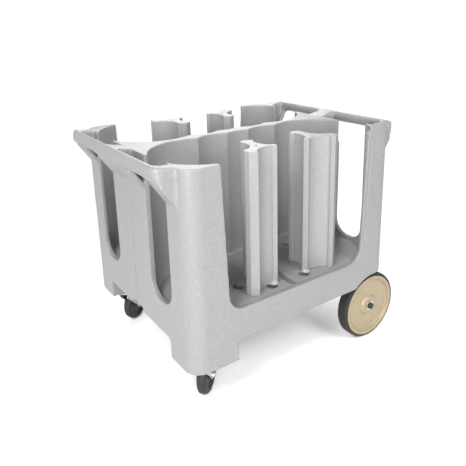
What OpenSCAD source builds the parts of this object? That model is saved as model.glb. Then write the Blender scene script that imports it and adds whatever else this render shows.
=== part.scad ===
// Adjustable dish caddy: a moulded body with scalloped plate bays, four lift-out towers,
// two large rear wheels on a through axle and two swivel casters under the front legs.
// The origin is on the floor under the middle of the caddy, +X to the rear wheels, +Z up.

/* [Body] */
// Length of the moulded body between its two end planes
body_l = 833; // [800:1:880]
// Width of the moulded body
body_w = 740; // [720:1:800]
// Radius of the body's upright corners
corner_r = 55; // [30:1:60]
// Height of the skirt's lower edge above the floor
skirt_z = 228; // [215:1:236]
// Thickness of the skirt all round the base
skirt_t = 28; // [20:1:32]
// Height of the deck that the plates stand on
deck_z = 329; // [325:1:345]
// Thickness of the deck
deck_t = 30; // [20:1:34]
// Height of the low rim along the open sides of the deck
rim_h = 4; // [2:0.5:8]
// Width of that rim and least thickness of the posts' open edges
rim_w = 14; // [10:1:18]

/* [Front legs] */
// Length of a front leg along the body
leg_l = 166; // [150:1:180]
// Width of a front leg across the body
leg_w = 138; // [125:1:150]
// Height of the flat underside of a front leg
leg_z = 160; // [158:0.5:165]
// Radius of the cove between a leg and the skirt
leg_cove_r = 18; // [8:1:24]

/* [Centre wall] */
// Depth of the centre wall's top edge below the rail's top
wall_drop = 17; // [14:1:40]
// Distance of a bay's centre from the body's end plane
bay_end = 176.5; // [172:0.5:182]
// Distance of a bay's centre from the centre wall's middle plane
bay_y = 180; // [178:1:184]
// Radius of the cradle that a bay cuts in the centre wall
cradle_r = 167; // [162:1:168]
// Half thickness of the wall at its upright ridges
ridge_half = 30; // [26:1:34]
// Distance of the outer ridges from their bay's centre, along the body
ridge_bay = 77; // [70:1:84]
// Distance of the inner ridges from the middle
inner_ridge_x = 47; // [40:1:54]
// Depth of the small scallops between the ridges
scallop_depth = 18; // [10:1:20]
// Depth of the shallow middle scallop
middle_depth = 8; // [4:1:12]

/* [End walls] */
// Thickness of the end wall beside the slots
end_t = 18; // [14:1:22]
// Thickness of the end wall's centre post
post_t = 35; // [30:1:40]
// Distance from the middle plane to a slot's near edge
slot_in = 122; // [115:1:128]
// Width of a hand slot in the end wall
slot_w = 136; // [120:1:140]
// Height of the bottom of a slot
slot_z = 339; // [335:1:360]
// Radius of a slot's lower corners
slot_r = 60; // [40:1:60]
// Depth of the corner posts' tops below the rail's top
post_drop = 11; // [8:1:20]
// Radius of the cradle that a bay cuts in its corner post
post_cradle_r = 184; // [180:1:186]
// Width of a corner post at its top, from the end plane to its open edge
post_head_w = 119.5; // [112:0.5:126]
// Width of a corner post near the deck
post_foot_w = 136.5; // [128:0.5:146]
// Radius of the cove at the foot of that edge
opening_r = 56; // [40:1:60]
// Depth of the shallow tapered groove down the front end
groove_depth = 3; // [1:0.5:5]
// Width of that groove at its foot
groove_w = 30; // [20:1:40]
// Width of that groove at its head
groove_head_w = 8; // [4:1:12]
// Distance from the groove's head up to the foot of the flare
groove_gap = 57; // [15:1:120]
// Height of the notch cut in the front skirt's lower edge
notch_h = 15; // [8:1:20]
// Width of that notch at its top
notch_w = 72; // [50:1:100]

/* [Grip rails] */
// Height of the top of the grip rails above the floor
rail_top = 810; // [806:1:820]
// How far a rail stands out beyond the end plane
rail_reach = 66; // [60:1:80]
// Thickness of a rail, front to back
rail_t = 24; // [20:1:28]
// Depth of a rail's outer face, top to bottom
rail_h = 42; // [36:1:50]
// Depth of a rail's inner face, top to bottom
rail_inner_h = 24; // [20:1:34]
// Radius of a rail's lower outer edge
rail_low_r = 7; // [4:0.5:9]
// Half length of a rail, across the body
rail_half = 326; // [315:1:345]
// Plan radius of the rail's ends
rail_end_r = 30; // [20:1:40]
// Depth of the flare below the rail's top, where the end wall starts to lean out
flare_h = 125; // [100:1:140]
// Thickness of the flared skin under the hand gap
flare_t = 14; // [10:1:18]
// Half width of the neck that joins the centre post to the rail
neck_half = 38; // [30:1:46]
// Distance from the middle plane to the far end of a hand gap
gap_end = 283; // [275:1:290]
// How far the hand gap cuts into the end wall
gap_inset = 7; // [4:1:9]

/* [Deck holes] */
// Radius of the round tower sockets and drain holes
socket_r = 19; // [17:0.5:20]
// Wall thickness of the wells under the holes
well_t = 5; // [3:0.5:7]
// Depth of the wells below the deck surface
well_depth = 62; // [55:1:80]
// Width of the long drain slots
drain_w = 26; // [20:1:30]
// Distance from the middle plane to the outer end of a drain slot
drain_out_y = 339; // [320:1:344]
// Distance from the middle plane to the inner end of a drain slot
drain_in_y = 120; // [90:1:200]

/* [Towers] */
// Height of a tower above the deck
tower_h = 472; // [440:1:480]
// Place of the front towers' horns, as a share of the way to their bay's centre
tower_front_share = 0.5; // [0.46:0.01:0.53]
// Place of the rear towers' horns, as a share of the way to their bay's centre
tower_rear_share = 0.633; // [0.6:0.001:0.66]
// Distance of the towers from the centre wall's middle plane
tower_y = 256; // [250:1:262]
// Half span of a tower's two horns
horn_half = 80; // [74:1:82]
// Distance from the horns' middle to their back corners
horn_back = 22; // [18:1:26]
// Distance from the horns' middle to their front corners
horn_front = 20; // [16:1:24]
// Bevel of the horns' front corners
horn_bevel = 14; // [8:1:16]
// Half width of the notch between the horns
notch_half = 50; // [44:1:54]
// Depth of the notch between the horns
notch_depth = 23; // [16:1:26]
// Reach of the arm from the horns' middle
arm_reach = 88; // [84:1:92]
// Half thickness of the arm at its tip
arm_half = 9.5; // [8:0.5:11]
// Width of the raised bead down each of a tower's three tips
bead_w = 18; // [14:1:20]
// How far a bead stands proud of the concave backs
bead_t = 2; // [1:0.5:3]
// Radius of the two concave backs between arm and horns
back_r = 72; // [66:1:80]
// Radius of the round foot under the arm
foot_r = 19; // [14:1:20]
// Height of that foot
foot_h = 16; // [10:1:20]
// Length of the pegs below the deck surface
peg_h = 42; // [30:1:44]
// Radial clearance of a peg in its socket
peg_gap = 0.6; // [0.4:0.1:1]
// Radius of the small locating pin under a horn
pin_r = 9; // [7:0.5:10]
// Radius of the vent hole in a tower's top
vent_r = 4; // [3:0.5:5]
// Depth of that vent hole
vent_depth = 12; // [8:1:20]

/* [Rear wheels] */
// Radius of a rear wheel over its tyre
wheel_r = 127; // [124:0.5:130]
// Width of a rear wheel
wheel_w = 46; // [40:1:48]
// Radius of the moulded disc inside the tyre
disc_r = 116; // [110:1:118]
// Distance from the middle plane to a wheel's outer face
wheel_out_y = 359; // [352:1:360]
// Distance of the rear axle from the middle, along the body
wheel_x = 355; // [350:1:360]
// Radial room between a tyre and the body's wheel arch
arch_gap = 9; // [7:1:14]
// Width of the disc's raised outer rim
disc_rim = 7; // [5:1:9]
// Depth of the dish in the disc's face
dish_depth = 10; // [6:1:12]
// Thickness of the disc's web
web_t = 8; // [6:1:10]
// Radius of the disc's centre boss
boss_r = 37; // [32:1:40]
// Radius of the tyre's shoulders
shoulder_r = 7; // [4:1:9]

/* [Axle] */
// Radius of the rear axle
axle_r = 9.5; // [8:0.5:11]
// Running clearance between a shaft and the bush that turns on it
run_gap = 0.05; // [0.02:0.01:0.1]
// Wall thickness of the rear wheel bushes
bush_t = 6; // [4:0.5:8]
// Radius of the washers on the axle
washer_r = 19; // [17:0.5:22]
// Thickness of those washers
washer_t = 3; // [2:0.5:3.5]
// Radius of the screws in the axle's ends
screw_r = 5; // [4:0.5:6]
// Radius of the screw heads
screw_head_r = 12; // [10:0.5:13]
// Height of the screw heads
screw_head_h = 7; // [5:0.5:8]
// Distance from the middle plane to a bracket's inner cheek
bracket_in_y = 205; // [195:1:215]
// Distance from the middle plane to a bracket's outer cheek
bracket_out_y = 285; // [278:1:290]
// Length of a bracket along the body
bracket_l = 90; // [80:1:96]
// Thickness of the bracket's steel
bracket_t = 5; // [4:0.5:6]
// Radius of the bracket's cheek around the axle
cheek_r = 22; // [18:1:26]

/* [Casters] */
// Radius of a caster wheel
caster_r = 63.5; // [60:0.5:65]
// Width of a caster wheel's tread
tread_w = 32; // [28:1:34]
// Thickness of a caster's rubber tread
tread_t = 14; // [10:1:16]
// Distance from a leg's side face to the caster's swivel axis
swivel_inset = 88; // [84:1:94]
// Distance from the front end plane to the caster's swivel axis
swivel_end = 77; // [70:1:86]
// Distance from the swivel axis to the wheel's axle
trail = 46; // [40:1:48]
// Length of the caster's top plate
plate_l = 104; // [98:1:110]
// Width of the caster's top plate
plate_w = 86; // [80:1:92]
// Thickness of the caster's top plate
plate_t = 3; // [2.5:0.5:4]
// Depth of the ball race under the plate
race_h = 8; // [6:0.5:9]
// Radius of the ball race
race_r = 25; // [23:0.5:27]
// Radius of a ball
ball_r = 2.9; // [2.5:0.1:3]
// Number of balls in each race
ball_n = 16; // [12:1:18]
// Radius of the kingpin
king_r = 6; // [5:0.5:7]
// Radius of the kingpin's formed head
king_head_r = 11; // [10:0.5:12]
// Height of the kingpin's formed head
king_head_h = 6; // [5:0.5:7]
// Thickness of the fork's pressed steel
fork_t = 4; // [3:0.5:4.5]
// Radius of the fork's round crown
crown_r = 34; // [32:0.5:36]
// Clear gap between a wheel's side and the fork
fork_gap = 2; // [1.5:0.5:3]
// Radius of the caster's axle bolt
bolt_r = 5; // [4:0.5:6]
// Angle of the near caster's trail from the +X axis, in degrees
near_trail_angle = 40; // [0:5:180]
// Angle of the far caster's trail from the +X axis, in degrees
far_trail_angle = 30; // [0:5:180]

/* [Hidden] */

$fn = 72;
// How far a cut runs past the faces that it opens
over = 5;
// Gap left between two pieces that turn past each other
turn_gap = 0.3;

body_colour = "#c6c6c4";
tower_colour = "#d2d2d0";
disc_colour = "#c9b793";
tyre_colour = "#45474a";
steel_colour = "#b9bdc1";
caster_colour = "#2c2c2e";

end_x = body_l / 2;
side_y = body_w / 2;
wall_top = rail_top - wall_drop;
post_top = rail_top - post_drop;
flare_z = rail_top - flare_h;
groove_top = flare_z - groove_gap;
bay_x = end_x - bay_end;
outer_ridge_x = bay_x - ridge_bay;
opening_top_x = end_x - post_head_w;
opening_low_x = end_x - post_foot_w;
slot_out = slot_in + slot_w;
slot_mid = slot_in + slot_w / 2;
rail_x = end_x + rail_reach;
rail_in_x = rail_x - rail_t;
rail_low_z = rail_top - rail_h;
rail_inner_z = rail_top - rail_inner_h;
// Height of the straight flank's foot on the rail's outer side
rail_flank_z = rail_low_z + rail_t / 2;
flare_slope = (rail_flank_z - flare_z) / rail_reach;
flare_drop = flare_t * sqrt(1 + flare_slope * flare_slope);
opening_toe_x = opening_low_x - opening_r;
under_z = deck_z - deck_t;
// Height on the open edge at which its lower width is taken
opening_low_z = deck_z + rim_h + opening_r;
opening_lean = (opening_top_x - opening_low_x) / (post_top - opening_low_z);

leg_x = -end_x + swivel_end;
leg_y = side_y - swivel_inset;
tower_front_x = bay_x * tower_front_share;
tower_rear_x = bay_x * tower_rear_share;
tower_turn = 31;
peg_u = horn_front + over;
peg_r = socket_r - peg_gap;
pin_u = over;
pin_v = horn_half * 0.7;

// Places of the open drain holes: along the body, across it, and the rows that have them
drain_shares = [[0.193, 0.327], [0.084, 0.412]];
inner_drain_gap = 58;
inner_drain_x = bay_x - inner_drain_gap;
inner_drain_y = 86;

wheel_in_y = wheel_out_y - wheel_w;
arch_r = wheel_r + arch_gap;
arch_in_y = wheel_in_y - arch_gap;
bush_r = axle_r + run_gap + bush_t;
boss_face_y = wheel_out_y - turn_gap * 4;
axle_end_y = boss_face_y + turn_gap;
disc_seat_r = bush_r + bush_t;
bracket_bolt_r = 4;
bracket_bolt_head_r = 7;
bracket_bolt_head_h = 5;
bracket_bolt_deep = 26;
bracket_bolt_inset = 12;
bracket_w = bracket_out_y - bracket_in_y;
screw_deep = 24;
socket_depth = 4;

plate_z = leg_z - plate_t;
race_z = plate_z - race_h;
crown_z = race_z - 2 * ball_r - turn_gap / 3;
king_z = crown_z - fork_t - king_head_h - turn_gap;
fork_in_y = tread_w / 2 + fork_gap;
fork_out_y = fork_in_y + fork_t;
core_r = caster_r - tread_t;
caster_bush_r = bolt_r + run_gap + fork_t;
plate_bolt_r = 4;
plate_bolt_head_r = 7;
plate_bolt_head_h = 5;
plate_bolt_deep = 22;
plate_bolt_inset = 12;
nut_r = 8.5;
nut_h = 7;
axle_boss_r = 14;
pin_back = 30;
brake_pin_x = trail + pin_back;
brake_pin_z = crown_z - fork_t * 3;
brake_pin_r = 3;
brake_boss_r = 6;
pedal_reach = 56;
pedal_drop = 16;
pedal_t = 4;
shoe_reach = 10;

function arc(cx, cy, r, from, to, steps) =
    [for (i = [0:steps]) [cx + r * cos(from + (to - from) * i / steps),
                          cy + r * sin(from + (to - from) * i / steps)]];

// Height of the flared skin's inner face at a distance from the middle
function skin_z(x) = flare_z + (x - end_x) * flare_slope + flare_drop;

// Centre of the circle of radius r through two points, on the right of the line between them
function circle_centre(a, b, r) =
    let (d = b - a, half = norm(d) / 2, h = sqrt(r * r - half * half))
    (a + b) / 2 + h * [d[1], -d[0]] / norm(d);

module rounded_rect(l, w, r) {
    square([l - 2 * r, w], center = true);
    square([l, w - 2 * r], center = true);
    for (x = [-1, 1], y = [-1, 1])
        translate([x * (l / 2 - r), y * (w / 2 - r)])
            circle(r);
}

// Extrudes a shape drawn in x and z through the body, from y0 to y1
module along_y(y0, y1) {
    translate([0, y1, 0])
        rotate([90, 0, 0])
            linear_extrude(y1 - y0)
                children();
}

// Extrudes a shape drawn in y and z along the body, from x0 to x1
module along_x(x0, x1) {
    translate([x0, 0, 0])
        rotate([90, 0, 90])
            linear_extrude(x1 - x0)
                children();
}

module both_sides() {
    children();
    mirror([0, 1, 0])
        children();
}

// Base: skirt, deck, front legs, wells and axle pads

module skirt() {
    translate([0, 0, skirt_z])
        linear_extrude(under_z - skirt_z)
            difference() {
                rounded_rect(body_l, body_w, corner_r);
                rounded_rect(body_l - 2 * skirt_t, body_w - 2 * skirt_t, corner_r - skirt_t);
            }
    translate([0, 0, under_z])
        linear_extrude(deck_t)
            rounded_rect(body_l, body_w, corner_r);
}

module side_rim() {
    translate([-opening_toe_x, side_y - rim_w, deck_z])
        cube([2 * opening_toe_x, rim_w, rim_h]);
}

module cove(r) {
    difference() {
        square(r);
        translate([r, 0])
            circle(r);
    }
}

module front_leg() {
    translate([0, 0, leg_z])
        linear_extrude(under_z - leg_z)
            intersection() {
                rounded_rect(body_l, body_w, corner_r);
                translate([-end_x, side_y - leg_w])
                    square([leg_l, leg_w]);
            }
    along_y(side_y - skirt_t, side_y)
        translate([-end_x + leg_l, skirt_z - leg_cove_r])
            cove(leg_cove_r);
    along_x(-end_x, -end_x + skirt_t)
        translate([side_y - leg_w, skirt_z - leg_cove_r])
            mirror([1, 0])
                cove(leg_cove_r);
}

module axle_pad() {
    translate([wheel_x - bracket_l / 2, bracket_in_y, skirt_z])
        cube([bracket_l, bracket_w, under_z - skirt_z]);
}

module well_tube(r) {
    translate([0, 0, deck_z - well_depth])
        cylinder(h = under_z - deck_z + well_depth + over, r = r + well_t);
}

module well_hole(r) {
    translate([0, 0, deck_z - well_depth - over])
        cylinder(h = well_depth + 2 * over, r = r);
}

// Puts its children at each drain hole in the deck
module at_drains() {
    both_sides() {
        translate([-body_l * drain_shares[0][0], body_w * drain_shares[0][1], 0])
            children();
        for (x = [-1, 1]) {
            translate([x * body_l * drain_shares[1][0], body_w * drain_shares[1][1], 0])
                children();
            translate([x * inner_drain_x, inner_drain_y, 0])
                children();
        }
    }
}

module at_main_pegs() {
    for (i = [0:3])
        at_tower(i)
            translate([peg_u, 0, 0])
                children();
}

module at_pins() {
    for (i = [0:3])
        at_tower(i)
            translate([pin_u, pin_v, 0])
                children();
}

module drain_slot() {
    translate([0, 0, under_z - over])
        linear_extrude(deck_t + 2 * over) {
            translate([-drain_w / 2, drain_in_y + drain_w / 2])
                square([drain_w, drain_out_y - drain_in_y - drain_w]);
            for (y = [drain_in_y + drain_w / 2, drain_out_y - drain_w / 2])
                translate([0, y])
                    circle(drain_w / 2);
        }
}

module wheel_arch() {
    along_y(arch_in_y, side_y + over)
        translate([wheel_x, wheel_r])
            circle(arch_r);
    translate([wheel_x, arch_in_y, skirt_z - over])
        cube([end_x - wheel_x + over, side_y - arch_in_y + over, wheel_r + arch_r - skirt_z + over]);
}

module front_notch() {
    along_x(-end_x - over, -end_x + skirt_t + over)
        polygon([[-notch_w / 2 - notch_h, skirt_z - over], [-notch_w / 2 - notch_h, skirt_z],
                 [-notch_w / 2, skirt_z + notch_h], [notch_w / 2, skirt_z + notch_h],
                 [notch_w / 2 + notch_h, skirt_z], [notch_w / 2 + notch_h, skirt_z - over]]);
}

module front_groove() {
    along_x(-end_x - over, -end_x + groove_depth)
        polygon([[-groove_w / 2, skirt_z - over], [groove_w / 2, skirt_z - over],
                 [groove_head_w / 2, groove_top], [-groove_head_w / 2, groove_top]]);
}

module at_bracket_bolts() {
    both_sides()
        for (x = [-1, 1], y = [-1, 1])
            translate([wheel_x + x * (bracket_l / 2 - bracket_bolt_inset),
                       bracket_in_y + bracket_w / 2
                           + y * (bracket_w / 2 - bracket_t - bracket_bolt_inset),
                       skirt_z])
                children();
}

module at_plate_bolts() {
    for (x = [-1, 1], y = [-1, 1])
        translate([x * (plate_l / 2 - plate_bolt_inset), y * (plate_w / 2 - plate_bolt_inset),
                   leg_z])
            children();
}

module body_base() {
    color(body_colour)
        difference() {
            union() {
                skirt();
                both_sides() {
                    side_rim();
                    front_leg();
                    axle_pad();
                }
                at_drains()
                    well_tube(socket_r);
                at_main_pegs()
                    well_tube(socket_r);
                at_pins()
                    well_tube(pin_r + peg_gap);
            }
            at_drains()
                well_hole(socket_r);
            at_main_pegs()
                well_hole(socket_r);
            at_pins()
                well_hole(pin_r + peg_gap);
            both_sides() {
                drain_slot();
                wheel_arch();
            }
            front_notch();
            front_groove();
            at_bracket_bolts()
                cylinder(h = bracket_bolt_deep, r = bracket_bolt_r);
            both_sides()
                translate([leg_x, leg_y, 0])
                    at_plate_bolts()
                        cylinder(h = plate_bolt_deep, r = plate_bolt_r);
        }
}

// Centre wall: cradles at the ends, ridges and scallops between them

module scallop(x, half, depth) {
    r = (half * half + depth * depth) / (2 * depth);
    translate([x, ridge_half - depth + r])
        circle(r, $fn = 144);
}

module centre_wall_plan() {
    scallop_x = (outer_ridge_x + inner_ridge_x) / 2;
    scallop_half = (outer_ridge_x - inner_ridge_x) / 2;
    throat = bay_y - sqrt(pow(cradle_r, 2) - pow(end_x - post_t - bay_x, 2));
    difference() {
        union() {
            square([2 * outer_ridge_x, 2 * ridge_half], center = true);
            for (x = [-end_x + post_t, outer_ridge_x])
                translate([x, -throat])
                    square([end_x - post_t - outer_ridge_x, 2 * throat]);
        }
        for (side = [0, 1])
            mirror([0, side]) {
                for (x = [-1, 1]) {
                    translate([x * bay_x, bay_y])
                        circle(cradle_r, $fn = 144);
                    scallop(x * scallop_x, scallop_half, scallop_depth);
                }
                scallop(0, inner_ridge_x, middle_depth);
            }
    }
}

module body_centre_wall() {
    color(body_colour)
        translate([0, 0, deck_z])
            linear_extrude(wall_top - deck_z)
                centre_wall_plan();
}

// End walls: centre post, corner posts, slots, flare and grip rail, drawn at the rear end

module corner_post_plan() {
    intersection() {
        rounded_rect(body_l, body_w, corner_r);
        union() {
            difference() {
                translate([opening_toe_x, slot_out])
                    square([end_x - opening_toe_x, side_y - slot_out]);
                translate([bay_x, bay_y])
                    circle(post_cradle_r, $fn = 144);
            }
            translate([opening_toe_x, side_y - rim_w])
                square([end_x - opening_toe_x, rim_w]);
        }
    }
}

// The open side between two posts, with its leaning edges and coved feet
module opening_shape() {
    foot = deck_z + rim_h;
    lean = atan(opening_lean);
    for (side = [0, 1])
        mirror([side, 0])
            polygon(concat(
                [[0, foot], [opening_toe_x, foot]],
                arc(opening_toe_x, foot + opening_r, opening_r, -90, -lean, 8),
                [[opening_top_x + over * opening_lean, post_top + over],
                 [0, post_top + over]]));
}

module corner_post() {
    difference() {
        translate([0, 0, deck_z])
            linear_extrude(post_top - deck_z)
                corner_post_plan();
        along_y(0, side_y + over)
            opening_shape();
    }
}

module centre_post() {
    translate([0, 0, deck_z])
        linear_extrude(wall_top - deck_z)
            difference() {
                translate([end_x - post_t, -slot_in])
                    square([post_t, 2 * slot_in]);
                for (y = [-1, 1])
                    translate([bay_x, y * bay_y])
                        circle(cradle_r, $fn = 144);
            }
}

module end_plate() {
    translate([0, 0, deck_z])
        linear_extrude(wall_top - deck_z)
            intersection() {
                rounded_rect(body_l, body_w, corner_r);
                translate([end_x - end_t, -side_y])
                    square([end_t, body_w]);
            }
}

module rail_section() {
    polygon([[rail_in_x, rail_top - rail_t / 2], [rail_in_x, rail_inner_z],
             [rail_x - rail_low_r, rail_low_z], [rail_x - rail_low_r, rail_low_z + rail_low_r],
             [rail_x, rail_low_z + rail_low_r], [rail_x, rail_top - rail_t / 2]]);
    translate([rail_x - rail_low_r, rail_low_z + rail_low_r])
        circle(rail_low_r);
    translate([rail_x - rail_t / 2, rail_top - rail_t / 2])
        circle(rail_t / 2);
}

module flare_section(top) {
    rail_section();
    polygon([[end_x - end_t, flare_z - end_t], [end_x, flare_z], [rail_x, rail_flank_z],
             [rail_x - rail_t / 2, rail_top], [end_x - end_t, top]]);
}

// The rail and the skin that leans out to it, from the corners and from the middle of the wall
module flare(panel_half) {
    intersection() {
        union() {
            along_y(-rail_half, rail_half)
                rail_section();
            along_y(-panel_half, panel_half)
                flare_section(wall_top);
            both_sides()
                along_y(slot_mid, rail_half)
                    flare_section(post_top);
        }
        translate([0, 0, flare_z - end_t])
            linear_extrude(rail_top - flare_z + end_t + over)
                rounded_rect(2 * rail_x, 2 * rail_half, rail_end_r);
    }
}

module hand_gap() {
    x = end_x - gap_inset;
    along_y(neck_half, gap_end)
        polygon([[x, skin_z(x)], [rail_in_x, skin_z(rail_in_x)], [rail_in_x, rail_top + over],
                 [x, rail_top + over]]);
}

module slot_shape(top) {
    translate([slot_in + slot_r, slot_z])
        square([slot_w - 2 * slot_r, top - slot_z]);
    translate([slot_in, slot_z + slot_r])
        square([slot_w, top - slot_z - slot_r]);
    for (y = [slot_in + slot_r, slot_out - slot_r])
        translate([y, slot_z + slot_r])
            circle(slot_r);
}

module hand_slot() {
    along_x(end_x - post_t - over, rail_in_x)
        slot_shape(rail_top + over);
    along_y(slot_in, slot_out)
        polygon([[end_x, flare_z - over], [rail_x + over, flare_z - over],
                 [rail_x + over, rail_low_z], [rail_x - rail_low_r, rail_low_z],
                 [rail_in_x, rail_inner_z], [end_x, rail_inner_z]]);
}

module end_wall(panel_half) {
    difference() {
        union() {
            end_plate();
            centre_post();
            both_sides()
                corner_post();
            flare(panel_half);
        }
        both_sides() {
            hand_gap();
            hand_slot();
        }
    }
}

module body_rear_end() {
    color(body_colour)
        end_wall(neck_half);
}

module body_front_end() {
    color(body_colour)
        difference() {
            mirror([1, 0, 0])
                end_wall(slot_mid);
            front_groove();
        }
}

// Towers: a three-armed star with a plate notch between its two horns

// Puts a child drawn in a tower's own frame at tower 0, 1, 2 or 3
module at_tower(i) {
    if (i == 0)
        translate([-tower_front_x, -tower_y, 0])
            rotate(-tower_turn)
                children();
    if (i == 1)
        translate([tower_rear_x, -tower_y, 0])
            mirror([1, 0, 0])
                rotate(-tower_turn)
                    children();
    if (i == 2)
        translate([tower_rear_x, tower_y, 0])
            mirror([1, 0, 0])
                rotate(tower_turn)
                    mirror([0, 1, 0])
                        children();
    if (i == 3)
        translate([-tower_front_x, tower_y, 0])
            rotate(tower_turn)
                mirror([0, 1, 0])
                    children();
}

module tower_plan() {
    notch_r = (notch_half * notch_half + notch_depth * notch_depth) / (2 * notch_depth);
    bead_v = horn_half - bead_w;
    star_v = bead_v + bead_t;
    star_u = arm_reach - bead_t;
    back = circle_centre([arm_reach - bead_w, arm_half - bead_t],
                         [horn_back - bead_t, bead_v], back_r);
    difference() {
        polygon([[-horn_front, -star_v], [horn_back, -star_v], [star_u, -arm_half],
                 [star_u, arm_half], [horn_back, star_v], [-horn_front, star_v]]);
        translate([-horn_front + notch_depth - notch_r, 0])
            circle(notch_r);
        for (side = [0, 1])
            mirror([0, side])
                translate([back[0], -back[1]])
                    circle(back_r, $fn = 96);
    }
    translate([arm_reach - bead_w, -arm_half])
        square([bead_w, 2 * arm_half]);
    for (side = [0, 1])
        mirror([0, side])
            polygon([[-horn_front, bead_v], [-horn_front, horn_half - horn_bevel],
                     [-horn_front + horn_bevel, horn_half], [horn_back, horn_half],
                     [horn_back, bead_v]]);
}

module tower(i) {
    color(tower_colour)
        at_tower(i)
            difference() {
                union() {
                    translate([0, 0, deck_z])
                        linear_extrude(tower_h)
                            tower_plan();
                    translate([arm_reach - arm_half - bead_t, 0, deck_z])
                        cylinder(h = foot_h, r1 = foot_r, r2 = arm_half - bead_t);
                    translate([peg_u, 0, deck_z - peg_h])
                        cylinder(h = peg_h + over, r = peg_r);
                    translate([pin_u, pin_v, deck_z - peg_h])
                        cylinder(h = peg_h + over, r = pin_r);
                }
                translate([peg_u, 0, deck_z + tower_h - vent_depth])
                    cylinder(h = vent_depth + over, r = vent_r);
            }
}

// Rear wheels, drawn on the near side with the outer face towards -Y

module wheel_turn() {
    translate([wheel_x, -wheel_out_y, wheel_r])
        rotate([-90, 0, 0])
            children();
}

module wheel_disc() {
    color(disc_colour)
        wheel_turn()
            rotate_extrude($fn = 96)
                polygon([[bush_r, wheel_out_y - boss_face_y],
                         [boss_r - turn_gap, wheel_out_y - boss_face_y],
                         [boss_r, turn_gap * 8],
                         [boss_r + turn_gap * 4, dish_depth],
                         [disc_r - disc_rim * 2, dish_depth], [disc_r - disc_rim, turn_gap * 2],
                         [disc_r - disc_rim * 0.8, 0],
                         [disc_r, 0], [disc_r, wheel_w], [disc_r - disc_rim, wheel_w],
                         [disc_r - disc_rim * 2, dish_depth + web_t],
                         [boss_r, dish_depth + web_t], [boss_r - web_t, wheel_w],
                         [bush_r, wheel_w]]);
}

module wheel_tyre() {
    color(tyre_colour)
        wheel_turn()
            rotate_extrude($fn = 96)
                polygon(concat(
                    [[disc_r, 0]],
                    arc(wheel_r - shoulder_r, shoulder_r, shoulder_r, -90, 0, 5),
                    arc(wheel_r - shoulder_r, wheel_w - shoulder_r, shoulder_r, 0, 90, 5),
                    [[disc_r, wheel_w]]));
}

module wheel_bush() {
    color(steel_colour)
        wheel_turn()
            difference() {
                translate([0, 0, wheel_out_y - boss_face_y])
                    cylinder(h = wheel_w - wheel_out_y + boss_face_y, r = bush_r);
                translate([0, 0, -over])
                    cylinder(h = wheel_w + 2 * over, r = axle_r + run_gap);
            }
}

module rear_axle() {
    color(steel_colour)
        difference() {
            translate([wheel_x, axle_end_y, wheel_r])
                rotate([90, 0, 0])
                    cylinder(h = 2 * axle_end_y, r = axle_r);
            both_sides()
                translate([wheel_x, -axle_end_y, wheel_r])
                    rotate([-90, 0, 0])
                        cylinder(h = screw_deep, r = screw_r);
        }
}

module bracket_cheek(y) {
    along_y(y, y + bracket_t)
        difference() {
            union() {
                polygon([[wheel_x - bracket_l / 2, skirt_z], [wheel_x - cheek_r, wheel_r],
                         [wheel_x + cheek_r, wheel_r], [wheel_x + bracket_l / 2, skirt_z]]);
                translate([wheel_x, wheel_r])
                    circle(cheek_r);
            }
            translate([wheel_x, wheel_r])
                circle(axle_r);
        }
}

module axle_brackets() {
    color(steel_colour)
        both_sides()
            difference() {
                union() {
                    bracket_cheek(bracket_in_y);
                    bracket_cheek(bracket_out_y - bracket_t);
                    translate([wheel_x - bracket_l / 2, bracket_in_y, skirt_z - bracket_t])
                        cube([bracket_l, bracket_w, bracket_t]);
                }
                at_bracket_bolts()
                    translate([0, 0, -bracket_t - over])
                        cylinder(h = bracket_t + 2 * over, r = bracket_bolt_r);
            }
}

module hex_bolt(shank_r, shank_l, head_r, head_h) {
    cylinder(h = shank_l, r = shank_r);
    translate([0, 0, -head_h])
        cylinder(h = head_h, r = head_r, $fn = 6);
}

module bracket_bolts() {
    color(steel_colour)
        at_bracket_bolts()
            translate([0, 0, -bracket_t])
                hex_bolt(bracket_bolt_r, bracket_bolt_deep + bracket_t,
                         bracket_bolt_head_r, bracket_bolt_head_h);
}

module axle_spacers() {
    color(steel_colour)
        both_sides()
            translate([wheel_x, bracket_out_y, wheel_r])
                rotate([-90, 0, 0])
                    difference() {
                        cylinder(h = wheel_in_y - bracket_out_y - turn_gap, r = axle_r + bush_t);
                        cylinder(h = wheel_in_y - bracket_out_y + over, r = axle_r);
                    }
}

module axle_washers() {
    color(steel_colour)
        both_sides()
            translate([wheel_x, axle_end_y, wheel_r])
                rotate([-90, 0, 0])
                    difference() {
                        cylinder(h = washer_t, r = washer_r);
                        translate([0, 0, -over])
                            cylinder(h = washer_t + 2 * over, r = screw_r);
                    }
}

module axle_screws() {
    color(steel_colour)
        both_sides()
            translate([wheel_x, axle_end_y + washer_t, wheel_r])
                rotate([-90, 0, 0])
                    difference() {
                        union() {
                            cylinder(h = screw_head_h, r = screw_head_r);
                            translate([0, 0, -washer_t - screw_deep])
                                cylinder(h = screw_deep + washer_t, r = screw_r);
                        }
                        translate([0, 0, screw_head_h - socket_depth])
                            cylinder(h = socket_depth + over, r = screw_head_r / 2, $fn = 6);
                    }
}

// Casters: plate, kingpin and balls stay with the leg, fork and wheel swivel under them

// Puts a child drawn around the swivel axis under the near or the far leg
module at_leg(side) {
    translate([leg_x, side * leg_y, 0])
        children();
}

module at_fork(side) {
    at_leg(side)
        rotate(side < 0 ? near_trail_angle : far_trail_angle)
            children();
}

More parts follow.
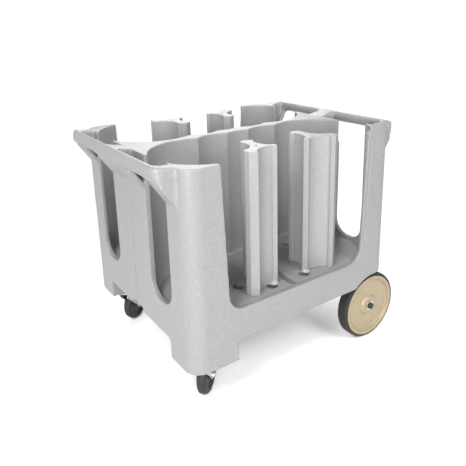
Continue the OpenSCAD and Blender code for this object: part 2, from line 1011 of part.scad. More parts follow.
module caster_plate(side) {
    color(steel_colour)
        at_leg(side)
            difference() {
                union() {
                    translate([-plate_l / 2, -plate_w / 2, plate_z])
                        cube([plate_l, plate_w, plate_t]);
                    translate([0, 0, race_z])
                        cylinder(h = race_h, r1 = race_r + ball_r * 2, r2 = crown_r);
                }
                translate([0, 0, race_z - over])
                    cylinder(h = race_h + plate_t + 2 * over, r = king_r);
                at_plate_bolts()
                    translate([0, 0, -plate_t - over])
                        cylinder(h = plate_t + 2 * over, r = plate_bolt_r);
            }
}

module caster_kingpin(side) {
    color(steel_colour)
        at_leg(side) {
            translate([0, 0, king_z])
                cylinder(h = leg_z - king_z, r = king_r);
            translate([0, 0, king_z])
                cylinder(h = king_head_h, r = king_head_r);
        }
}

module caster_balls(side) {
    color(steel_colour)
        at_leg(side)
            for (i = [0:ball_n - 1])
                rotate(i * 360 / ball_n)
                    translate([race_r, 0, race_z - ball_r])
                        sphere(ball_r, $fn = 24);
}

module caster_plate_bolts(side) {
    color(steel_colour)
        at_leg(side)
            at_plate_bolts()
                translate([0, 0, -plate_t])
                    hex_bolt(plate_bolt_r, plate_bolt_deep + plate_t,
                             plate_bolt_head_r, plate_bolt_head_h);
}

module fork_cheek(braked) {
    difference() {
        union() {
            polygon([[-crown_r * 0.7, crown_z], [-crown_r * 0.8, crown_z - crown_r * 0.6],
                     [trail - axle_boss_r, caster_r], [trail + axle_boss_r, caster_r],
                     [trail + axle_boss_r * 1.2, crown_z - crown_r],
                     [crown_r * 0.9, crown_z]]);
            translate([trail, caster_r])
                circle(axle_boss_r);
            if (braked) {
                polygon([[crown_r * 0.8, crown_z], [trail, crown_z - crown_r],
                         [brake_pin_x, brake_pin_z - brake_boss_r],
                         [brake_pin_x, brake_pin_z + brake_boss_r]]);
                translate([brake_pin_x, brake_pin_z])
                    circle(brake_boss_r);
            }
        }
        translate([trail, caster_r])
            circle(bolt_r);
        if (braked)
            translate([brake_pin_x, brake_pin_z])
                circle(brake_pin_r);
    }
}

module caster_fork(side) {
    color(steel_colour)
        at_fork(side)
            difference() {
                union() {
                    translate([0, 0, crown_z - fork_t])
                        cylinder(h = fork_t, r = crown_r);
                    for (y = [-fork_out_y, fork_in_y])
                        along_y(y, y + fork_t)
                            fork_cheek(side < 0);
                }
                translate([0, 0, crown_z - fork_t - over])
                    cylinder(h = fork_t + 2 * over, r = king_r + run_gap);
            }
}

module caster_spindle() {
    translate([trail, 0, caster_r])
        rotate([90, 0, 0])
            children();
}

module caster_axle_bolt(side) {
    color(steel_colour)
        at_fork(side)
            caster_spindle() {
                translate([0, 0, -fork_out_y])
                    cylinder(h = 2 * fork_out_y + nut_h, r = bolt_r);
                translate([0, 0, -fork_out_y - fork_t])
                    cylinder(h = fork_t, r = nut_r);
            }
}

module caster_nut(side) {
    color(steel_colour)
        at_fork(side)
            caster_spindle()
                translate([0, 0, fork_out_y])
                    difference() {
                        cylinder(h = nut_h - fork_gap, r = nut_r, $fn = 6);
                        translate([0, 0, -over])
                            cylinder(h = nut_h + 2 * over, r = bolt_r);
                    }
}

module caster_bush(side) {
    color(steel_colour)
        at_fork(side)
            caster_spindle()
                difference() {
                    cylinder(h = tread_w, r = caster_bush_r, center = true);
                    cylinder(h = tread_w + over, r = bolt_r + run_gap, center = true);
                }
}

module caster_core(side) {
    half = tread_w / 2;
    color(caster_colour)
        at_fork(side)
            caster_spindle()
                rotate_extrude()
                    polygon([[caster_bush_r, -half], [caster_bush_r + fork_t, -half],
                             [caster_bush_r + 2 * fork_t, -half + 2 * fork_t],
                             [core_r - 2 * fork_t, -half + 2 * fork_t],
                             [core_r - fork_t, -half + fork_gap], [core_r, -half + fork_gap],
                             [core_r, half - fork_gap], [core_r - fork_t, half - fork_gap],
                             [core_r - 2 * fork_t, half - 2 * fork_t],
                             [caster_bush_r + 2 * fork_t, half - 2 * fork_t],
                             [caster_bush_r + fork_t, half], [caster_bush_r, half]]);
}

module caster_tread(side) {
    half = tread_w / 2;
    r = tread_t * 0.5;
    color(caster_colour)
        at_fork(side)
            caster_spindle()
                rotate_extrude()
                    polygon(concat(
                        [[core_r, -half + fork_gap], [core_r + fork_gap, -half]],
                        arc(caster_r - r, -half + r, r, -90, 0, 5),
                        arc(caster_r - r, half - r, r, 0, 90, 5),
                        [[core_r + fork_gap, half], [core_r, half - fork_gap]]));
}

module brake_pedal() {
    half = fork_in_y - turn_gap;
    color(caster_colour)
        at_fork(-1)
            along_y(-half, half)
                translate([brake_pin_x, brake_pin_z])
                    difference() {
                        union() {
                            circle(brake_boss_r);
                            polygon([[0, brake_boss_r], [-brake_boss_r * 0.8, 0],
                                     [shoe_reach - pedal_t, -shoe_reach],
                                     [shoe_reach, -shoe_reach], [shoe_reach + pedal_t, 0],
                                     [pedal_reach * 0.7, -pedal_drop * 0.5 - pedal_t],
                                     [pedal_reach, -pedal_drop - pedal_t],
                                     [pedal_reach + pedal_t, -pedal_drop],
                                     [pedal_reach * 0.7, -pedal_drop * 0.5]]);
                        }
                        circle(brake_pin_r + run_gap);
                    }
}

module brake_pin() {
    color(steel_colour)
        at_fork(-1)
            translate([brake_pin_x, 0, brake_pin_z])
                rotate([90, 0, 0])
                    cylinder(h = 2 * fork_out_y, r = brake_pin_r, center = true);
}

body_base();
body_centre_wall();
body_front_end();
body_rear_end();
tower(0);  // tower_near_front
tower(1);  // tower_near_rear
tower(2);  // tower_far_rear
tower(3);  // tower_far_front
rear_axle();
axle_brackets();
bracket_bolts();
axle_spacers();
axle_washers();
axle_screws();
wheel_disc();  // wheel_disc_near
wheel_tyre();  // wheel_tyre_near
wheel_bush();  // wheel_bush_near
mirror([0, 1, 0]) wheel_disc();  // wheel_disc_far
mirror([0, 1, 0]) wheel_tyre();  // wheel_tyre_far
mirror([0, 1, 0]) wheel_bush();  // wheel_bush_far
caster_plate(-1);  // caster_plate_near
caster_kingpin(-1);  // caster_kingpin_near
caster_balls(-1);  // caster_balls_near
caster_plate_bolts(-1);  // caster_plate_bolts_near
caster_fork(-1);  // caster_fork_near
caster_axle_bolt(-1);  // caster_axle_bolt_near
caster_nut(-1);  // caster_nut_near
caster_bush(-1);  // caster_bush_near
caster_core(-1);  // caster_core_near
caster_tread(-1);  // caster_tread_near
brake_pedal();  // brake_pedal_near
brake_pin();  // brake_pin_near
caster_plate(1);  // caster_plate_far
caster_kingpin(1);  // caster_kingpin_far
caster_balls(1);  // caster_balls_far
caster_plate_bolts(1);  // caster_plate_bolts_far
caster_fork(1);  // caster_fork_far
caster_axle_bolt(1);  // caster_axle_bolt_far
caster_nut(1);  // caster_nut_far
caster_bush(1);  // caster_bush_far
caster_core(1);  // caster_core_far
caster_tread(1);  // caster_tread_far
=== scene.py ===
"""Looks of the plate dispenser cart: its moulded body and towers, its wheels and casters, and the
materials, the light and the camera."""
import math

import bmesh
import bpy
import numpy as np
from mathutils import Matrix, Vector


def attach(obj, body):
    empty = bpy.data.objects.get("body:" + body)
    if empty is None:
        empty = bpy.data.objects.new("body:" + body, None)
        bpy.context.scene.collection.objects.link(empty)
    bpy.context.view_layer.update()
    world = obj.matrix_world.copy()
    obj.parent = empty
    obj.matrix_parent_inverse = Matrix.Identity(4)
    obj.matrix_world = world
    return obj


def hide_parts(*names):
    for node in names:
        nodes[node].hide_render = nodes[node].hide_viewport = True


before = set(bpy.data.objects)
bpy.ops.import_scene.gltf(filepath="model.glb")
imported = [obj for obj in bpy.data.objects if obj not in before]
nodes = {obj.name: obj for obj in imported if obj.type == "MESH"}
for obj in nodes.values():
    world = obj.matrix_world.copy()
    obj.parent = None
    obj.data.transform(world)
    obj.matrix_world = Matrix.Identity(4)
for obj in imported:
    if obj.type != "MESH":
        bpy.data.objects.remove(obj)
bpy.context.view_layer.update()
mm = 0.001


# Small helpers for colours, nodes and objects


def linear(code):
    """A colour written as sRGB hex, as the linear values that a shader takes."""
    parts = [int(code[i:i + 2], 16) / 255 for i in (1, 3, 5)]
    return [c / 12.92 if c <= 0.04045 else ((c + 0.055) / 1.055) ** 2.4 for c in parts] + [1]


def add(tree, kind, inputs=(), **settings):
    """Adds a node to a tree, with its settings, and its inputs as values or as sockets to link."""
    node = tree.nodes.new(kind)
    for key, value in settings.items():
        setattr(node, key, value)
    for key, value in dict(inputs).items():
        if isinstance(value, bpy.types.NodeSocket):
            tree.links.new(value, node.inputs[key])
        else:
            node.inputs[key].default_value = value
    return node


def placed(name, mesh, material, body, replaced=(), smooth_angle=None):
    """Makes a finished piece of a mesh: its material, body and the nodes it stands for."""
    obj = bpy.data.objects.new(name, mesh)
    bpy.context.scene.collection.objects.link(obj)
    mesh.materials.clear()
    mesh.materials.append(material)
    mesh.shade_smooth()
    if smooth_angle:
        mesh.set_sharp_from_angle(angle=math.radians(smooth_angle))
    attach(obj, body)
    if replaced:
        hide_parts(*replaced)


def with_modifiers(mesh, *steps):
    """The mesh after a list of (modifier kind, settings), all applied."""
    obj = bpy.data.objects.new("work", mesh)
    bpy.context.scene.collection.objects.link(obj)
    for kind, settings in steps:
        modifier = obj.modifiers.new(kind.lower(), kind)
        for key, value in settings.items():
            setattr(modifier, key, value)
    seen = obj.evaluated_get(bpy.context.evaluated_depsgraph_get())
    made = bpy.data.meshes.new_from_object(seen)
    bpy.data.objects.remove(obj)
    return made


def copied(names, change=None):
    """One mesh of merged copies of CAD nodes; change moves the points of each copy first."""
    same_point = 0.01 * mm
    bm = bmesh.new()
    for name in names:
        part = nodes[name].data.copy()
        points = np.empty(len(part.vertices) * 3, np.float32)
        part.vertices.foreach_get("co", points)
        points = points.reshape(-1, 3)
        if change:
            points = change(name, points)
        part.vertices.foreach_set("co", points.ravel())
        bm.from_mesh(part)
    bmesh.ops.remove_doubles(bm, verts=bm.verts, dist=same_point)
    mesh = bpy.data.meshes.new("copy")
    bm.to_mesh(mesh)
    bm.free()
    for index in range(len(mesh.attributes) - 1, -1, -1):
        if mesh.attributes[index].name in ("custom_normal", "sharp_face", "sharp_edge"):
            mesh.attributes.remove(mesh.attributes[index])
    return mesh


# Materials


def material(name, colour, roughness, **sockets):
    """A principled material and its tree; sockets are further inputs of the shader."""
    made = bpy.data.materials.new(name)
    made.use_nodes = True
    tree = made.node_tree
    shader = tree.nodes["Principled BSDF"]
    shader.inputs["Base Color"].default_value = linear(colour)
    shader.inputs["Roughness"].default_value = roughness
    for key, value in sockets.items():
        shader.inputs[key.replace("_", " ")].default_value = value
    made.diffuse_color = linear(colour)
    return made, tree, shader


def ramp(tree, value, *stops):
    """A colour ramp over a value, from (place, hex colour) stops."""
    node = add(tree, "ShaderNodeValToRGB", {"Fac": value})
    while len(node.color_ramp.elements) < len(stops):
        node.color_ramp.elements.new(0.5)
    for element, (place, colour) in zip(node.color_ramp.elements, stops):
        element.position = place
        element.color = linear(colour)
    return node.outputs["Color"]


def bumped(tree, shader, height, distance, strength):
    """Puts a fine relief on a shader, distance high in metres."""
    node = add(tree, "ShaderNodeBump", {"Height": height, "Distance": distance,
                                        "Strength": strength})
    tree.links.new(node.outputs["Normal"], shader.inputs["Normal"])


def granite_polyethylene(name, base, dark, light):
    """Rotationally moulded polyethylene with a granite fleck: a pale satin grey with fine dark
    specks of powder about 1.5 mm across, and the soft 2 mm pebble of the mould's blasted steel.
    The cloudy change of tone is drawn 12 mm wide, coarser than the real one, so that it shows.
    A noise of scale n has one wave in 1/n metres."""
    cloud_scale, speck_scale, pebble_scale = 85, 650, 480
    first_colour, second_colour, mixed_colour = 6, 7, 2
    made, tree, shader = material(name, base, 0.5, IOR=1.5)
    place = add(tree, "ShaderNodeTexCoord").outputs["Object"]
    cloud = add(tree, "ShaderNodeTexNoise", {"Vector": place, "Scale": cloud_scale,
                                             "Detail": 3.0, "Roughness": 0.6})
    tone = ramp(tree, cloud.outputs["Fac"], (0.3, dark), (0.5, base), (0.7, light))
    specks = add(tree, "ShaderNodeTexNoise", {"Vector": place, "Scale": speck_scale,
                                              "Detail": 1.0, "Roughness": 0.5})
    shade = ramp(tree, specks.outputs["Fac"], (0.36, "#7f807e"), (0.46, "#ffffff"))
    mixed = add(tree, "ShaderNodeMix", {"Factor": 0.32, first_colour: tone,
                                        second_colour: shade},
                data_type="RGBA", blend_type="MULTIPLY")
    tree.links.new(mixed.outputs[mixed_colour], shader.inputs["Base Color"])
    pebble = add(tree, "ShaderNodeTexNoise", {"Vector": place, "Scale": pebble_scale,
                                              "Detail": 2.0})
    bumped(tree, shader, pebble.outputs["Fac"], 0.35 * mm, 0.35)
    rough = add(tree, "ShaderNodeMapRange", {"Value": cloud.outputs["Fac"], "To Min": 0.36,
                                             "To Max": 0.48})
    tree.links.new(rough.outputs["Result"], shader.inputs["Roughness"])
    return made


def moulded_nylon():
    """Injection moulded nylon in cream: even, waxy and satin, with faint flow clouds."""
    made, tree, shader = material("cream moulded nylon", "#887b62", 0.38, IOR=1.53)
    place = add(tree, "ShaderNodeTexCoord").outputs["Object"]
    flow = add(tree, "ShaderNodeTexNoise", {"Vector": place, "Scale": 30, "Detail": 4.0})
    tone = ramp(tree, flow.outputs["Fac"], (0.3, "#84775e"), (0.55, "#887b62"), (0.75, "#8c7f66"))
    tree.links.new(tone, shader.inputs["Base Color"])
    grain = add(tree, "ShaderNodeTexNoise", {"Vector": place, "Scale": 900, "Detail": 2.0})
    bumped(tree, shader, grain.outputs["Fac"], 0.1 * mm, 0.3)
    return made


def solid_rubber(name, base, worn, roughness):
    """Moulded solid rubber: near black with a grey bloom, duller where the bloom is."""
    made, tree, shader = material(name, base, roughness, IOR=1.52)
    place = add(tree, "ShaderNodeTexCoord").outputs["Object"]
    bloom = add(tree, "ShaderNodeTexNoise", {"Vector": place, "Scale": 45, "Detail": 6.0,
                                             "Roughness": 0.65})
    tone = ramp(tree, bloom.outputs["Fac"], (0.35, base), (0.75, worn))
    tree.links.new(tone, shader.inputs["Base Color"])
    dull = add(tree, "ShaderNodeMapRange", {"Value": bloom.outputs["Fac"],
                                            "To Min": roughness - 0.08,
                                            "To Max": roughness + 0.15})
    tree.links.new(dull.outputs["Result"], shader.inputs["Roughness"])
    grain = add(tree, "ShaderNodeTexNoise", {"Vector": place, "Scale": 700, "Detail": 3.0})
    bumped(tree, shader, grain.outputs["Fac"], 0.2 * mm, 0.4)
    return made


def plated_steel(name, base, deep, roughness, spangle):
    """Plated steel: a metal with faint cloudy crystals in its zinc."""
    made, tree, shader = material(name, base, roughness, Metallic=1.0)
    place = add(tree, "ShaderNodeTexCoord").outputs["Object"]
    crystals = add(tree, "ShaderNodeTexVoronoi", {"Vector": place, "Scale": spangle})
    cloud = add(tree, "ShaderNodeTexNoise", {"Vector": place, "Scale": spangle, "Detail": 4.0})
    both = add(tree, "ShaderNodeMath", {0: crystals.outputs["Distance"],
                                        1: cloud.outputs["Fac"]}, operation="MULTIPLY")
    tone = ramp(tree, both.outputs["Value"], (0.05, base), (0.5, deep))
    tree.links.new(tone, shader.inputs["Base Color"])
    dull = add(tree, "ShaderNodeMapRange", {"Value": cloud.outputs["Fac"],
                                            "To Min": roughness - 0.06,
                                            "To Max": roughness + 0.12})
    tree.links.new(dull.outputs["Result"], shader.inputs["Roughness"])
    bumped(tree, shader, cloud.outputs["Fac"], 0.05 * mm, 0.3)
    return made


body_plastic = granite_polyethylene("granite grey polyethylene", "#7b7b7b", "#787878", "#7e7e7e")
tower_plastic = granite_polyethylene("pale granite polyethylene", "#808080", "#7d7d7d", "#838383")
disc_nylon = moulded_nylon()
tyre_rubber = solid_rubber("dark grey solid rubber", "#131211", "#1b1918", 0.75)
zinc = plated_steel("bright zinc plate on steel", "#c4c6c8", "#a9acaf", 0.34, 160)
axle_zinc = plated_steel("dull zinc plate on steel", "#b4b6b8", "#9b9ea1", 0.42, 120)
chrome = plated_steel("chrome plate on steel", "#b9babc", "#a9abad", 0.18, 60)
# Dark steel for the end screws: its darkness is painted shade for their hex sockets
socket_shade_steel = plated_steel("dark steel with painted socket shade", "#4a4b4d", "#3a3b3d", 0.32, 90)
caster_nylon = solid_rubber("black moulded nylon", "#0d0d0e", "#151517", 0.42)
caster_rubber = solid_rubber("black caster rubber", "#0b0b0c", "#161617", 0.6)

# The moulded body: one seamless shell with the soft edges of a rotational moulding


def lapped(name, points):
    """Runs the walls a little into what they stand on or meet, so that the copies fuse."""
    lap, deck, wall_end = 6 * mm, 0.3292, 0.381
    if name != "body_base":
        points[points[:, 2] < deck, 2] -= lap
    if name == "body_centre_wall":
        out = np.abs(points[:, 0]) > wall_end
        points[out, 0] += np.sign(points[out, 0]) * lap
    return points


def values_of(rows, name):
    """A vector of each vertex of a mesh, as an array with one row each."""
    found = np.empty(len(rows) * 3, np.float32)
    rows.foreach_get(name, found)
    return found.reshape(-1, 3)


def coved(skin):
    """Fills the inner corners above the deck with soft coves: where a strong smoothing would push
    the skin outwards it goes there, and elsewhere it stays. On the handle rails it also goes
    inwards, so that their edges turn into one round grip."""
    rounds, reach, deck, rail_foot, rail_from = 70, 9 * mm, 0.331, 0.752, 0.432
    points, normals = values_of(skin.vertices, "co"), values_of(skin.vertex_normals, "vector")
    strong = with_modifiers(skin.copy(), ("SMOOTH", {"factor": 0.5, "iterations": rounds}))
    push = np.einsum("ij,ij->i", values_of(strong.vertices, "co") - points, normals)
    on_rail = (points[:, 2] > rail_foot) & (np.abs(points[:, 0]) > rail_from)
    push = np.clip(push, np.where(on_rail, -1.5 * reach, 0), reach)
    push = np.where(points[:, 2] > deck, push, 0)
    return points + normals * push[:, None]


def shell(names, voxel, rounds, share, form, change=None):
    """A smooth closed skin over CAD copies: voxels, then smoothing, then fewer faces."""
    skin = with_modifiers(
        copied(names, change),
        ("REMESH", {"mode": "VOXEL", "voxel_size": voxel, "adaptivity": 0.0}),
        ("SMOOTH", {"factor": 0.5, "iterations": rounds}))
    skin.vertices.foreach_set("co", form(skin).ravel())
    skin.update()
    return with_modifiers(skin, ("SMOOTH", {"factor": 0.5, "iterations": 1}),
                          ("DECIMATE", {"ratio": share}))


def body_form(skin):
    """Coves the body, and presses in the shallow tapered groove of the front end and the line
    that sets off the rounded bead along the open side of each rear corner post."""
    points = coved(skin)
    along, across, up = points[:, 0], np.abs(points[:, 1]), points[:, 2]
    foot, head, end_face = 0.228, 0.628, -0.410
    half_foot, half_head, groove_deep = 15 * mm, 4 * mm, 2.5 * mm
    half = half_foot + (half_head - half_foot) * (up - foot) / (head - foot)
    along[(along < end_face) & (across < half) & (up < head)] += groove_deep
    edge_top, edge_low, post_top, post_low = 0.297, 0.280, 0.799, 0.369
    bead, bead_top, line, deep = 13 * mm, 0.758, 5 * mm, 2 * mm
    fade_from, fade, side_face = 0.36, 0.05, 0.355
    edge = edge_low + (edge_top - edge_low) * (up - post_low) / (post_top - post_low)
    off = np.hypot(along - edge, np.maximum(up - bead_top, 0)) - bead
    press = deep * np.clip(1 - (off / line) ** 2, 0, 1) * np.clip((up - fade_from) / fade, 0, 1)
    on_post = (across > side_face) & (along > 0)
    points[:, 1] -= np.sign(points[:, 1]) * np.where(on_post, press, 0)
    return points


def tower_form(skin):
    """Presses in the lines that set off the beads at the three tips of a tower. They are found in
    the tower's own frame: u along its arm, v along its horns."""
    points, normals = values_of(skin.vertices, "co"), values_of(skin.vertex_normals, "vector")
    front_x, rear_x, across_y, turn = 0.120, 0.1519, 0.256, math.radians(31)
    middle = np.where(points[:, 0].mean() < 0, front_x, rear_x)
    x, y = middle - np.abs(points[:, 0]), across_y - np.abs(points[:, 1])
    u = x * math.cos(turn) - y * math.sin(turn)
    v = np.abs(x * math.sin(turn) + y * math.cos(turn))
    arm_line, horn_line, line, deep = 69 * mm, 61 * mm, 3.6 * mm, 2.4 * mm
    arm_half, steepest, nowhere = 16 * mm, 0.5, 1
    off = np.minimum(np.where(v < arm_half, np.abs(u - arm_line), nowhere),
                     np.abs(v - horn_line))
    upright = np.abs(normals[:, 2]) < steepest
    press = deep * np.clip(1 - (off / line) ** 2, 0, 1) * upright
    return points - normals * press[:, None]


body_nodes = ["body_base", "body_centre_wall", "body_front_end", "body_rear_end"]
body_mesh = shell(body_nodes, 2.8 * mm, 4, 0.14, body_form, lapped)
placed("body_shell", body_mesh, body_plastic, "cart", body_nodes)

for place in ("near_front", "near_rear", "far_rear", "far_front"):
    node = "tower_" + place
    tower_mesh = shell([node], 1.5 * mm, 2, 0.25, tower_form)
    placed(node + "_shell", tower_mesh, tower_plastic, place + "_tower", [node])

# Wheels: turned from rounded profiles about the axles of the CAD pieces


def rounded(corners, steps=4):
    """A closed outline from (x, y, reach) corners, each eased by a curve that reaches as far."""
    spots = [np.array(c[:2], float) for c in corners]
    outline = []
    for i, (spot, corner) in enumerate(zip(spots, corners)):
        if not corner[2]:
            outline.append(spot)
            continue
        ends = []
        for other in (spots[i - 1], spots[(i + 1) % len(spots)]):
            length = np.linalg.norm(other - spot)
            ends.append(spot + (other - spot) * min(corner[2], length * 0.49) / length)
        for k in range(steps + 1):
            t = k / steps
            outline.append((1 - t) ** 2 * ends[0] + 2 * t * (1 - t) * spot + t * t * ends[1])
    return outline


def axle_of(name):
    """The centre and the direction of the axle of a round CAD piece, pointing out of the cart."""
    points = values_of(nodes[name].data.vertices, "co")
    centre = (points.min(0) + points.max(0)) / 2
    direction = np.linalg.svd(points - points.mean(0), full_matrices=False)[2][2]
    if direction[1] * centre[1] < 0:
        direction = -direction
    return Vector([float(c) for c in centre]), Vector([float(c) for c in direction])


def turned(outline, centre, axle, count=112):
    """Turns an outline of (radius, way out along the axle) points, in mm, about an axle."""
    up = Vector((0, 0, 1))
    side = axle.cross(up).normalized()
    bm = bmesh.new()
    rings = []
    for i in range(count):
        angle = 2 * math.pi * i / count
        arm = math.cos(angle) * side + math.sin(angle) * up
        rings.append([bm.verts.new(centre + (arm * float(r) + axle * float(out)) * mm)
                      for r, out in outline])
    for i in range(count):
        ring, after = rings[i], rings[(i + 1) % count]
        for k in range(len(outline)):
            bm.faces.new((ring[k - 1], ring[k], after[k], after[k - 1]))
    bmesh.ops.recalc_face_normals(bm, faces=bm.faces)
    mesh = bpy.data.meshes.new("turned")
    bm.to_mesh(mesh)
    bm.free()
    return mesh


# Outlines are (radius, way out along the axle, reach of the rounding) in mm. Those of the rear
# wheel go out over its boss, dish and lip, and come back inside over its web and inner boss.
half_wheel, bush_r = 23, 15.55
disc_outline = rounded([
    (bush_r, 21.8, 0), (34.5, 21.8, 3), (39.5, 12.5, 3), (45, 12.6, 4), (92, 12.6, 3),
    (96, 12.6, 1), (99, 15.9, 1.5), (103, 15.9, 1), (105, 22.9, 2), (109, 22.9, 2),
    (110.5, 21.6, 1), (112, 22.9, 1), (116, 22.9, 0.6), (116, -half_wheel, 0.6),
    (109.5, -half_wheel, 2), (104, 3, 5), (98, 5, 3), (44, 5, 4), (34, -20, 5),
    (31, -half_wheel, 2), (bush_r, -half_wheel, 0)])
tyre_outline = rounded([
    (116, 22, 0), (117.5, 22.9, 0.8), (120.5, 23, 1), (127, 17.5, 6), (127, -17.5, 6),
    (120.5, -23, 1), (117.5, -22.9, 0.8), (116, -22, 0)], 5)
# Caster wheel outlines: a crowned tread on a core with a hub and a recessed web
tread_outline = rounded([
    (49.5, 14, 0), (50.5, 15.4, 0.8), (55, 16, 2), (63.5, 10, 7), (63.5, -10, 7), (55, -16, 2),
    (50.5, -15.4, 0.8), (49.5, -14, 0)], 5)
core_outline = rounded([
    (9.1, 16, 0), (14, 16, 1), (17, 9, 3), (40, 8, 3), (44.5, 13, 1.5), (46, 14, 0.8),
    (49.5, 14, 0), (49.5, -14, 0), (46, -14, 0.8), (44.5, -13, 1.5), (40, -8, 3), (17, -9, 3),
    (14, -16, 1), (9.1, -16, 0)])

for side in ("near", "far"):
    for kind, name, finish, outline in (
            ("rear_wheel", "wheel_disc", disc_nylon, disc_outline),
            ("rear_wheel", "wheel_tyre", tyre_rubber, tyre_outline),
            ("caster_wheel", "caster_core", caster_nylon, core_outline),
            ("caster_wheel", "caster_tread", caster_rubber, tread_outline)):
        node = name + "_" + side
        placed(node + "_turned", turned(outline, *axle_of(node)), finish, side + "_" + kind,
               [node], 40)

# Bolts and balls: one piece, set out on points by a node group


def bolt_piece(head_r, head_h, shank_r, shank_l):
    """A hexagon bolt seen from its head, which hangs below z 0, with its shank above."""
    bm = bmesh.new()
    bmesh.ops.create_cone(bm, cap_ends=True, segments=6, radius1=head_r * mm, radius2=head_r * mm,
                          depth=head_h * mm,
                          matrix=Matrix.Translation((0, 0, -head_h / 2 * mm)) @
                          Matrix.Rotation(math.pi / 6, 4, "Z"))
    low = [e for e in bm.edges if all(v.co.z < -head_h * 0.9 * mm for v in e.verts)]
    bmesh.ops.bevel(bm, geom=low, offset=head_h * 0.16 * mm, segments=2, affect="EDGES")
    bmesh.ops.create_cone(bm, cap_ends=True, segments=24, radius1=shank_r * mm,
                          radius2=shank_r * mm, depth=shank_l * mm,
                          matrix=Matrix.Translation((0, 0, shank_l / 2 * mm)))
    return held(bm)


def ball_piece(r):
    """A steel ball."""
    bm = bmesh.new()
    bmesh.ops.create_icosphere(bm, subdivisions=3, radius=r * mm)
    return held(bm)


def held(bm):
    """The mesh of a piece that a node group sets out."""
    mesh = bpy.data.meshes.new("piece")
    bm.to_mesh(mesh)
    bm.free()
    return mesh


def set_out_group():
    """A node group that puts a piece on each point, makes them real and gives them a finish."""
    tree = bpy.data.node_groups.new("set out", "GeometryNodeTree")
    for name, way, kind in (("Geometry", "INPUT", "Geometry"), ("Piece", "INPUT", "Object"),
                            ("Finish", "INPUT", "Material"), ("Geometry", "OUTPUT", "Geometry")):
        tree.interface.new_socket(name, in_out=way, socket_type="NodeSocket" + kind)
    given = add(tree, "NodeGroupInput").outputs
    piece = add(tree, "GeometryNodeObjectInfo", {"Object": given["Piece"]})
    spread = add(tree, "GeometryNodeInstanceOnPoints", {
        "Points": given["Geometry"], "Instance": piece.outputs["Geometry"]})
    real = add(tree, "GeometryNodeRealizeInstances", {"Geometry": spread.outputs["Instances"]})
    done = add(tree, "GeometryNodeSetMaterial", {"Geometry": real.outputs["Geometry"],
                                                 "Material": given["Finish"]})
    add(tree, "NodeGroupOutput", {"Geometry": done.outputs["Geometry"]})
    return tree


def set_out(name, piece, spots, finish, body, node):
    """Copies a piece to each spot by the node group, as one mesh that stands for a CAD node."""
    held_piece = bpy.data.objects.new("piece", piece)
    bpy.context.scene.collection.objects.link(held_piece)
    points = bpy.data.meshes.new("spots")
    points.from_pydata(spots, [], [])
    work = bpy.data.objects.new("work", points)
    bpy.context.scene.collection.objects.link(work)
    modifier = work.modifiers.new("set out", "NODES")
    modifier.node_group = setter
    chosen = {"Piece": held_piece, "Finish": finish}
    for socket in setter.interface.items_tree:
        if socket.name in chosen:
            modifier[socket.identifier] = chosen[socket.name]
    bpy.context.view_layer.update()
    seen = work.evaluated_get(bpy.context.evaluated_depsgraph_get())
    mesh = bpy.data.meshes.new_from_object(seen)
    bpy.data.objects.remove(work)
    bpy.data.objects.remove(held_piece)
    placed(name, mesh, finish, body, [node], 30)


setter = set_out_group()
leg_x, leg_y, plate_z, skirt_z = -0.3395, 0.282, 0.157, 0.228
plate_reach, plate_half, race_r, race_z = 40 * mm, 31 * mm, 25 * mm, 0.1461
ball_r, balls, ball_step = 2.9, 16, math.pi / 8
head_r, head_h, shank_r, plate_shank, bracket_shank = 7, 5, 4, 25, 31
bracket_plate, bolt_xs, bolt_ys = 5 * mm, (0.322, 0.388), (0.222, 0.268)
for side, way in (("near", -1), ("far", 1)):
    set_out("caster_plate_bolts_" + side + "_set",
            bolt_piece(head_r, head_h, shank_r, plate_shank),
            [(leg_x + i * plate_reach, way * leg_y + j * plate_half, plate_z)
             for i in (-1, 1) for j in (-1, 1)],
            zinc, "cart", "caster_plate_bolts_" + side)
    set_out("caster_balls_" + side + "_set", ball_piece(ball_r),
            [(leg_x + race_r * math.cos(ball_step * i),
              way * leg_y + race_r * math.sin(ball_step * i), race_z) for i in range(balls)],
            chrome, "cart", "caster_balls_" + side)
set_out("bracket_bolts_set", bolt_piece(head_r, head_h, shank_r, bracket_shank),
        [(x, way * y, skirt_z - bracket_plate) for x in bolt_xs for y in bolt_ys
         for way in (-1, 1)], axle_zinc, "cart", "bracket_bolts")

# Metal and rubber pieces: CAD copies with their sharp edges broken


def eased(name, finish, body, break_edge):
    """A copy of a CAD node with small rounded edges, which stands for it."""
    flat, edge, smooth = 0.5, 30, 35
    mesh = with_modifiers(
        copied([name]),
        ("DECIMATE", {"decimate_type": "DISSOLVE", "angle_limit": math.radians(flat)}),
        ("BEVEL", {"width": break_edge, "segments": 2, "limit_method": "ANGLE",
                   "angle_limit": math.radians(edge), "use_clamp_overlap": True}),
        ("TRIANGULATE", {}))
    placed(name + "_piece", mesh, finish, body, [name], smooth)


for name in ("rear_axle", "axle_brackets", "axle_spacers"):
    eased(name, axle_zinc, "cart", 0.6 * mm)
eased("axle_washers", chrome, "cart", 0.9 * mm)
# The record has no slot for the dark steel of the end screws, which is darkened as painted shade
# of their hex sockets
eased("axle_screws", socket_shade_steel, "cart", 1.2 * mm)
for side in ("near", "far"):
    wheel = side + "_rear_wheel"
    eased("wheel_bush_" + side, axle_zinc, wheel, 0.3 * mm)
    for name in ("plate", "kingpin"):
        eased("caster_%s_%s" % (name, side), zinc, "cart", 0.5 * mm)
    for name in ("fork", "axle_bolt", "nut"):
        eased("caster_%s_%s" % (name, side), zinc, side + "_swivel", 0.5 * mm)
    eased("caster_bush_" + side, zinc, side + "_caster_wheel", 0.2 * mm)
eased("brake_pedal_near", zinc, "near_brake", 0.6 * mm)
eased("brake_pin_near", zinc, "near_swivel", 0.3 * mm)

# Floor, light and camera

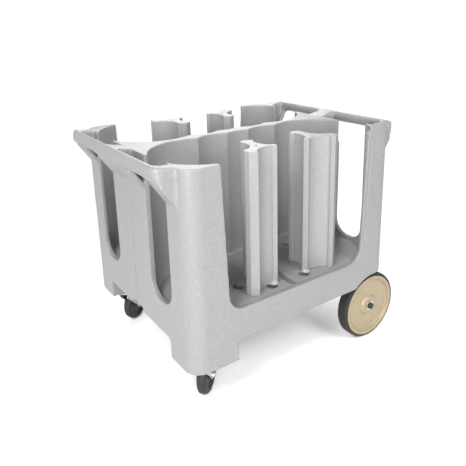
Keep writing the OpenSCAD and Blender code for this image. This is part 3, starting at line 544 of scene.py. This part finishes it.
floor_finish, floor_tree, floor_shader = material("white seamless paper", "#eeeeee", 0.9)
paper = add(floor_tree, "ShaderNodeTexCoord").outputs["Object"]
fibre = add(floor_tree, "ShaderNodeTexNoise", {"Vector": paper, "Scale": 40, "Detail": 3.0})
paper_tone = ramp(floor_tree, fibre.outputs["Fac"], (0.3, "#ececec"), (0.7, "#f0f0f0"))
floor_tree.links.new(paper_tone, floor_shader.inputs["Base Color"])
floor_mesh = bpy.data.meshes.new("floor")
reach, sides = 1.7, 96
floor_mesh.from_pydata([(reach * math.cos(2 * math.pi * i / sides),
                         reach * math.sin(2 * math.pi * i / sides), 0) for i in range(sides)],
                       [], [range(sides)])
floor = bpy.data.objects.new("floor", floor_mesh)
bpy.context.scene.collection.objects.link(floor)
floor_mesh.materials.append(floor_finish)


def lamp(name, place, aim, size, power):
    """A soft square lamp that points at a place."""
    data = bpy.data.lights.new(name, "AREA")
    data.size = size
    data.energy = power
    obj = bpy.data.objects.new(name, data)
    bpy.context.scene.collection.objects.link(obj)
    obj.location = place
    obj.rotation_euler = (Vector(aim) - Vector(place)).to_track_quat("-Z", "Y").to_euler()


lamp("left", (-2.6, -1.5, 3.1), (0, 0, 0.45), 1.3, 132)
lamp("front", (0.3, -2.7, 2.4), (0, 0, 0.45), 1.3, 66)
lamp("corner", (-2.1, -2.1, 1.0), (-0.3, -0.3, 0.5), 0.8, 64)
lamp("back", (1.3, 2.2, 2.3), (0, 0, 0.6), 1.8, 46)
world = bpy.data.worlds.new("studio")
bpy.context.scene.world = world
world.use_nodes = True
sky = world.node_tree
height = add(sky, "ShaderNodeSeparateXYZ", {
    "Vector": add(sky, "ShaderNodeTexCoord").outputs["Generated"]}).outputs["Z"]
dome = ramp(sky, height, (0.38, "#ffffff"), (0.7, "#c4c4c4"))
sky.links.new(dome, sky.nodes["Background"].inputs["Color"])
sky.nodes["Background"].inputs["Strength"].default_value = 1.08
bpy.context.scene.view_settings.view_transform = "Standard"

# The camera stands where the photograph's did: how far it is turned, raised and rolled, in
# degrees. Its shift brings the lens's middle, which lies above the frame's, to its place.
view_turn, view_rise, view_roll = map(math.radians, (-34.39, 15.91, -1.51))
back = Vector((math.sin(view_turn) * math.cos(view_rise),
               -math.cos(view_turn) * math.cos(view_rise), math.sin(view_rise)))
right = Vector((0, 0, 1)).cross(back).normalized()
up = back.cross(right)
right, up = (math.cos(view_roll) * right + math.sin(view_roll) * up,
             math.cos(view_roll) * up - math.sin(view_roll) * right)
frame_pixels, focal_pixels, centre_above, sensor = 466, 528.8, 68, 36
camera_place = (-1.0518, -1.5305, 1.1905)
lens_data = bpy.data.cameras.new("camera")
lens_data.sensor_width = sensor
lens_data.lens = focal_pixels / frame_pixels * sensor
lens_data.shift_y = -centre_above / frame_pixels
camera = bpy.data.objects.new("camera", lens_data)
bpy.context.scene.collection.objects.link(camera)
stance = Matrix((right, up, back)).transposed().to_4x4()
camera.matrix_world = Matrix.Translation(camera_place) @ stance
bpy.context.scene.camera = camera
